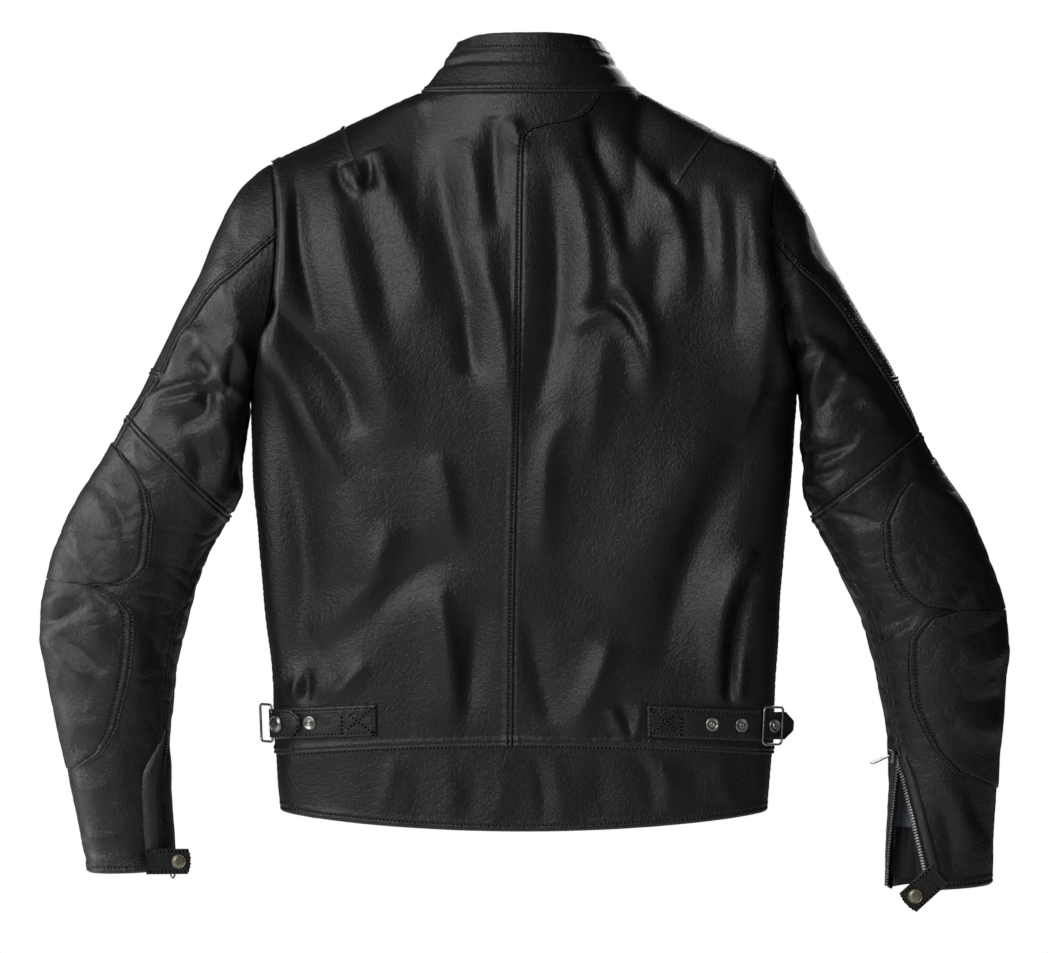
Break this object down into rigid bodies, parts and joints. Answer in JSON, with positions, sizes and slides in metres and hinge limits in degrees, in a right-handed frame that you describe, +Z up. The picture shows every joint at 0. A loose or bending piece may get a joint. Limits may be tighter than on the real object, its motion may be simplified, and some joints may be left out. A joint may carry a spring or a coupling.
{
  "type": "leather riding jacket",
  "caption": "Waist-length leather riding jacket with a stand collar, zipped cuffs, elbow patches and side adjusters, hung by its neck loop.",
  "frame": {"origin": "middle of the hanger loop inside the back neck", "axes": "+X towards the wearer's right, +Y forward, +Z up, with the jacket hanging as worn"},
  "size_m": [0.8896, 0.1709, 0.7895],
  "materials": {
    "black_leather": "semi-gloss grained leather with soft creases",
    "lining_cloth": "matt woven lining",
    "protector_foam": "matt foam armour",
    "nickel": "polished nickel plate, lightly worn",
    "antique_brass": "antiqued brass"
  },
  "bodies": {
    "body": {"back_panel_left": "black_leather", "back_panel_right": "black_leather", "front_panel_left": "black_leather", "front_panel_right": "black_leather", "waistband_back": "black_leather", "lining_back": "lining_cloth", "lining_front_left": "lining_cloth", "lining_front_right": "lining_cloth", "back_protector": "protector_foam", "collar": "black_leather", "hanger_loop": "black_leather", "front_zip_left": "nickel", "front_zip_right": "nickel", "left_pocket_zip": "nickel", "right_pocket_zip": "nickel", "left_adjuster_strap": "black_leather", "right_adjuster_strap": "black_leather", "left_adjuster_stud_1": "nickel", "right_adjuster_stud_1": "nickel", "right_adjuster_stud_2": "nickel"},
    "front_zip_slider": {"front_zip_slider": "nickel"},
    "front_zip_pull": {"front_zip_pull": "nickel"},
    "collar_tab": {"collar_tab": "black_leather"},
    "left_adjuster_tab": {"left_adjuster_tab": "black_leather", "left_adjuster_snap_cap": "nickel"},
    "right_adjuster_tab": {"right_adjuster_tab": "black_leather"},
    "left_upper_arm": {"left_upper_sleeve_back": "black_leather", "left_upper_sleeve_front": "black_leather", "left_elbow_patch_upper": "black_leather", "left_shoulder_protector": "protector_foam"},
    "left_forearm": {"left_forearm_back": "black_leather", "left_forearm_front": "black_leather", "left_elbow_patch_lower": "black_leather", "left_elbow_protector": "protector_foam", "left_cuff_zip": "nickel"},
    "left_pocket_slider": {"left_pocket_slider": "nickel"},
    "left_pocket_pull": {"left_pocket_pull": "nickel"},
    "left_cuff_slider": {"left_cuff_slider": "nickel"},
    "left_cuff_pull": {"left_cuff_pull": "nickel"},
    "left_adjuster_ring": {"left_adjuster_ring": "nickel"},
    "left_cuff_tab": {"left_cuff_tab": "black_leather", "left_cuff_snap_cap": "antique_brass"},
    "right_upper_arm": {"right_upper_sleeve_back": "black_leather", "right_upper_sleeve_front": "black_leather", "right_elbow_patch_upper": "black_leather", "right_shoulder_protector": "protector_foam"},
    "right_forearm": {"right_forearm_back": "black_leather", "right_forearm_front": "black_leather", "right_elbow_patch_lower": "black_leather", "right_elbow_protector": "protector_foam", "right_cuff_zip": "nickel", "right_cuff_gusset": "lining_cloth"},
    "right_pocket_slider": {"right_pocket_slider": "nickel"},
    "right_pocket_pull": {"right_pocket_pull": "nickel"},
    "right_cuff_slider": {"right_cuff_slider": "nickel"},
    "right_cuff_pull": {"right_cuff_pull": "nickel"},
    "right_adjuster_ring": {"right_adjuster_ring": "nickel"},
    "right_cuff_tab": {"right_cuff_tab": "black_leather", "right_cuff_snap_cap": "antique_brass"}
  },
  "joints": [
    {"name": "left_shoulder_lift", "type": "hinge", "parent": "body", "child": "left_upper_arm", "pos_m": [-0.2275, 0.0585, -0.066], "axis": [0, 1, 0], "range_deg": [0, 25]},
    {"name": "left_elbow_bend", "type": "hinge", "parent": "left_upper_arm", "child": "left_forearm", "pos_m": [-0.36842, 0.11805, -0.46415], "axis": [0.9964, 0, -0.0848], "range_deg": [0, 60]},
    {"name": "right_shoulder_lift", "type": "hinge", "parent": "body", "child": "right_upper_arm", "pos_m": [0.2275, 0.0585, -0.066], "axis": [0, -1, 0], "range_deg": [0, 25]},
    {"name": "right_elbow_bend", "type": "hinge", "parent": "right_upper_arm", "child": "right_forearm", "pos_m": [0.36571, 0.11805, -0.46134], "axis": [0.9989, 0, 0.046], "range_deg": [0, 60]},
    {"name": "front_zip_run", "type": "slide", "parent": "body", "child": "front_zip_slider", "axis": [0, -0.03, -0.9996], "range_m": [0, 0.555]},
    {"name": "front_zip_pull_swing", "type": "hinge", "parent": "front_zip_slider", "child": "front_zip_pull", "pos_m": [0, 0.14251, -0.08814], "axis": [1, 0, 0], "range_deg": [0, 165]},
    {"name": "left_pocket_zip_run", "type": "slide", "parent": "body", "child": "left_pocket_slider", "axis": [-0.2136, -0.0531, -0.9755], "range_m": [0, 0.12]},
    {"name": "left_pocket_pull_swing", "type": "hinge", "parent": "left_pocket_slider", "child": "left_pocket_pull", "pos_m": [-0.12219, 0.13386, -0.40942], "axis": [0.9714, 0.0946, -0.2179], "range_deg": [0, 165]},
    {"name": "right_pocket_zip_run", "type": "slide", "parent": "body", "child": "right_pocket_slider", "axis": [0.2136, -0.0531, -0.9755], "range_m": [0, 0.12]},
    {"name": "right_pocket_pull_swing", "type": "hinge", "parent": "right_pocket_slider", "child": "right_pocket_pull", "pos_m": [0.12219, 0.13386, -0.40942], "axis": [0.9714, -0.0946, 0.2179], "range_deg": [0, 165]},
    {"name": "left_cuff_zip_run", "type": "slide", "parent": "left_forearm", "child": "left_cuff_slider", "axis": [0.0005, 0.0351, 0.9994], "range_m": [0, 0.105]},
    {"name": "left_cuff_pull_swing", "type": "hinge", "parent": "left_cuff_slider", "child": "left_cuff_pull", "pos_m": [-0.318, 0.04059, -0.70012], "axis": [-0.5345, -0.8446, 0.0299], "range_deg": [0, 12]},
    {"name": "right_cuff_zip_run", "type": "slide", "parent": "right_forearm", "child": "right_cuff_slider", "axis": [-0.053, 0.1681, -0.9843], "range_m": [0, 0.11]},
    {"name": "right_cuff_pull_swing", "type": "hinge", "parent": "right_cuff_slider", "child": "right_cuff_pull", "pos_m": [0.33007, 0.04416, -0.60957], "axis": [-0.3092, 0.9345, 0.1762], "range_deg": [-65, 90]},
    {"name": "left_cuff_tab_swing", "type": "hinge", "parent": "left_forearm", "child": "left_cuff_tab", "pos_m": [-0.3405, 0.0265, -0.7035], "axis": [-0.0185, -0.0055, -0.9998], "range_deg": [0, 120]},
    {"name": "right_cuff_tab_swing", "type": "hinge", "parent": "right_forearm", "child": "right_cuff_tab", "pos_m": [0.3745, 0.027, -0.715], "axis": [-0.6775, 0, 0.7355], "range_deg": [0, 120]},
    {"name": "collar_tab_swing", "type": "hinge", "parent": "body", "child": "collar_tab", "pos_m": [-0.024, 0.13901, -0.03862], "axis": [0, 0, 1], "range_deg": [0, 120]},
    {"name": "left_ring_swing", "type": "hinge", "parent": "body", "child": "left_adjuster_ring", "pos_m": [-0.239, 0.05087, -0.5795], "axis": [0.0418, -0.0004, -0.9991], "range_deg": [0, 40]},
    {"name": "left_adjuster_tab_swing", "type": "hinge", "parent": "left_adjuster_ring", "child": "left_adjuster_tab", "pos_m": [-0.22886, 0.03138, -0.57907], "axis": [0.0402, 0.0022, -0.9992], "range_deg": [0, 90]},
    {"name": "right_ring_swing", "type": "hinge", "parent": "body", "child": "right_adjuster_ring", "pos_m": [0.2334, 0.03202, -0.58127], "axis": [0.0537, -0.0115, 0.9985], "range_deg": [0, 60]},
    {"name": "right_adjuster_tab_swing", "type": "hinge", "parent": "body", "child": "right_adjuster_tab", "pos_m": [0.21537, 0.02309, -0.5804], "axis": [0.0537, -0.0115, 0.9985], "range_deg": [0, 12]}
  ]
}
